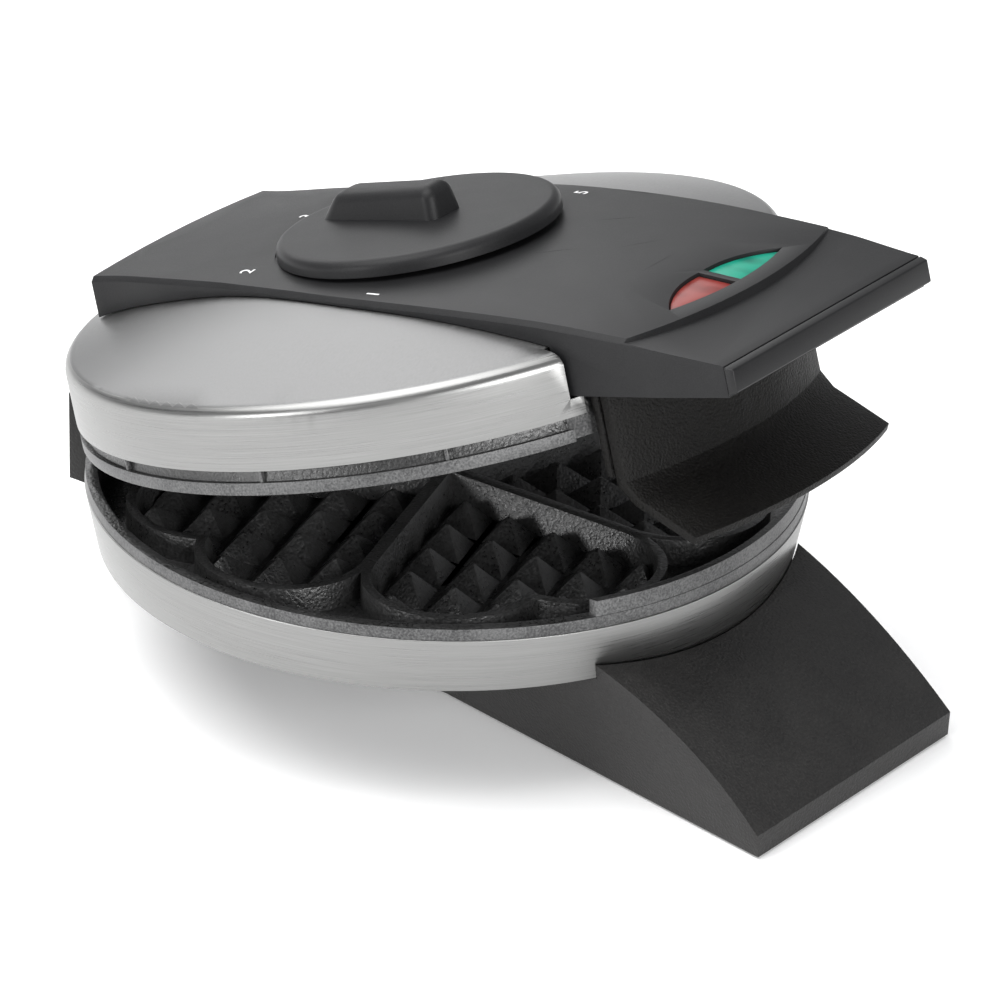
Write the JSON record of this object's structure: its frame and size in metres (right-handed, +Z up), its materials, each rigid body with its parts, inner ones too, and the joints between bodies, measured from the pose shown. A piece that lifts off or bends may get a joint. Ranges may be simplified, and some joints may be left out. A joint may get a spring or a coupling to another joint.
{
  "type": "heart waffle maker",
  "caption": "Round tabletop waffle iron with heart-shaped cells, hinged steel lid with a broad handle bridge, browning knob and an arched stand.",
  "frame": {"origin": "centre of the object's footprint box at table level", "axes": "+Z up, -Y towards the user and the handle, +Y towards the hinge, X along the hinge"},
  "size_m": [0.2, 0.2528, 0.1412],
  "materials": {
    "brushed_steel": "circumferentially brushed stainless steel",
    "nonstick_casting": "dark non-stick coated casting, satin",
    "black_plastic": "fine-grained black heat-proof plastic",
    "grey_plastic": "smooth dark grey satin plastic",
    "plain_steel": "plain zinc-plated steel",
    "heater_tube": "heat-tinted tubular heater sheath",
    "cast_arm": "black coated die casting",
    "pale_plastic": "ceramic-filled pale plastic",
    "rubber": "soft black rubber",
    "red_lens": "translucent red plastic",
    "green_lens": "translucent green plastic",
    "lamp_glass": "clear neon lamp glass"
  },
  "bodies": {
    "base": {"lower_plate": "nonstick_casting", "lower_shell": "brushed_steel", "base_pan": "black_plastic", "base_stand": "black_plastic", "rubber_feet": "rubber", "hinge_housing": "black_plastic", "hinge_pins": "plain_steel", "cord_gland": "rubber", "terminal_block": "pale_plastic", "lower_heater": "heater_tube", "lower_reflector": "plain_steel", "lower_plate_screws": "plain_steel", "stand_screws": "plain_steel", "housing_screws": "plain_steel"},
    "lid": {"upper_plate": "nonstick_casting", "upper_heater": "heater_tube", "lid_shell": "brushed_steel", "bridge_cover": "grey_plastic", "red_lens": "red_lens", "green_lens": "green_lens", "handle_end_cap": "black_plastic", "handle_underside": "black_plastic", "lid_grip": "black_plastic", "grip_heat_shield": "black_plastic", "hinge_arm": "cast_arm", "arm_screws": "plain_steel", "lid_reflector": "plain_steel", "upper_plate_screws": "plain_steel", "handle_screws": "plain_steel", "thermostat": "pale_plastic", "thermal_fuse": "plain_steel", "indicator_lamps": "lamp_glass", "lamp_holder": "pale_plastic"},
    "knob": {"knob": "grey_plastic", "thermostat_shaft": "plain_steel"}
  },
  "joints": [
    {"name": "lid_hinge", "type": "hinge", "parent": "base", "child": "lid", "pos_m": [0, 0.11815, 0.0575], "axis": [-1, 0, 0], "range_deg": [-15, 80]},
    {"name": "knob_turn", "type": "hinge", "parent": "lid", "child": "knob", "pos_m": [0, 0.02425, 0.12666], "axis": [0, 0.2588, 0.9659], "range_deg": [-110, 123]}
  ]
}
